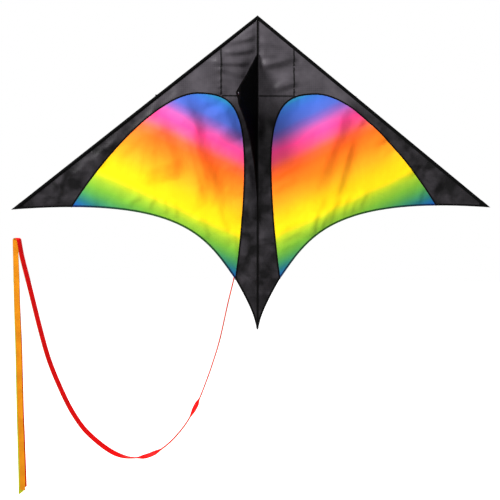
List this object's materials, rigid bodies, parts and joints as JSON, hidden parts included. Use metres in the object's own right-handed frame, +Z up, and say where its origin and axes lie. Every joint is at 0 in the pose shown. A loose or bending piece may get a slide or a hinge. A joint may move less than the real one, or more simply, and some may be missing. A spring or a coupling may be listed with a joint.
{
  "type": "delta kite",
  "caption": "Single-line delta kite: swept cloth sail on thin rods, with a hinged keel, a pull-off spreader and long tail ribbons.",
  "frame": {"origin": "the nose point, on the middle line of the spine and of the sail cloth", "axes": "+X to the right as the keel side is seen, +Y towards the back of the sail, +Z up along the spine from tail to nose"},
  "size_m": [1.52, 0.201, 1.481],
  "materials": {
    "black_ripstop": "thin black ripstop, slight sheen",
    "rainbow_cloth": "thin printed cloth graded from blue through pink, orange and yellow to green",
    "black_tape": "matte black binding and sleeve cloth",
    "black_rod": "pultruded fibreglass, satin",
    "black_vinyl": "soft moulded vinyl",
    "eyelet_metal": "pressed nickel-plated brass",
    "tail_cord": "braided black cord",
    "ribbon_red": "thin red tail cloth",
    "ribbon_yellow": "thin yellow-green tail cloth",
    "ribbon_orange": "thin orange tail cloth"
  },
  "bodies": {
    "airframe": {"spine_rod": "black_rod", "spine_sleeve": "black_tape", "nose_cap": "black_tape", "tail_pocket": "black_tape"},
    "left_wing": {"left_nose_panel": "black_ripstop", "left_edge_band": "black_ripstop", "left_rainbow_panel": "rainbow_cloth", "left_centre_strip": "black_ripstop", "left_edge_sleeve": "black_tape", "left_edge_rod": "black_rod", "left_rod_caps": "black_vinyl", "left_fitting": "black_vinyl", "left_tip_pocket": "black_tape", "left_panel_tape": "black_tape", "left_nose_seam": "black_tape", "left_trailing_hem": "black_tape", "tail_tab": "black_tape"},
    "right_wing": {"right_nose_panel": "black_ripstop", "right_edge_band": "black_ripstop", "right_rainbow_panel": "rainbow_cloth", "right_centre_strip": "black_ripstop", "right_edge_sleeve": "black_tape", "right_edge_rod": "black_rod", "right_rod_caps": "black_vinyl", "right_fitting": "black_vinyl", "right_tip_pocket": "black_tape", "right_panel_tape": "black_tape", "right_nose_seam": "black_tape", "right_trailing_hem": "black_tape"},
    "keel": {"keel_panel": "black_ripstop", "keel_front_hem": "black_tape", "keel_rear_hem": "black_tape", "tow_patch": "black_tape", "tow_eyelet": "eyelet_metal", "tow_washer": "eyelet_metal"},
    "spreader": {"spreader_rod": "black_rod", "spreader_end_left": "black_vinyl", "spreader_end_right": "black_vinyl"},
    "tail": {"tail_cord": "tail_cord", "tail_head": "ribbon_red", "tail_ribbon_red": "ribbon_red", "tail_ribbon_yellow": "ribbon_yellow", "tail_ribbon_orange": "ribbon_orange"}
  },
  "joints": [
    {"name": "left_wing_fold", "type": "hinge", "parent": "airframe", "child": "left_wing", "pos_m": [0, 0, 0], "axis": [0, 0, 1], "range_deg": [0, 45]},
    {"name": "right_wing_fold", "type": "hinge", "parent": "airframe", "child": "right_wing", "pos_m": [0, 0, 0], "axis": [0, 0, 1], "range_deg": [-45, 0]},
    {"name": "keel_swing", "type": "hinge", "parent": "airframe", "child": "keel", "pos_m": [0, -0.005, 0], "axis": [0, 0, 1], "range_deg": [-47, 103]},
    {"name": "spreader_pull", "type": "slide", "parent": "airframe", "child": "spreader", "axis": [0, 1, 0], "range_m": [0, 0.12]},
    {"name": "tail_sway", "type": "hinge", "parent": "left_wing", "child": "tail", "pos_m": [-0.072, 0.011, -0.8], "axis": [0, 0, 1], "range_deg": [-60, 60]}
  ]
}
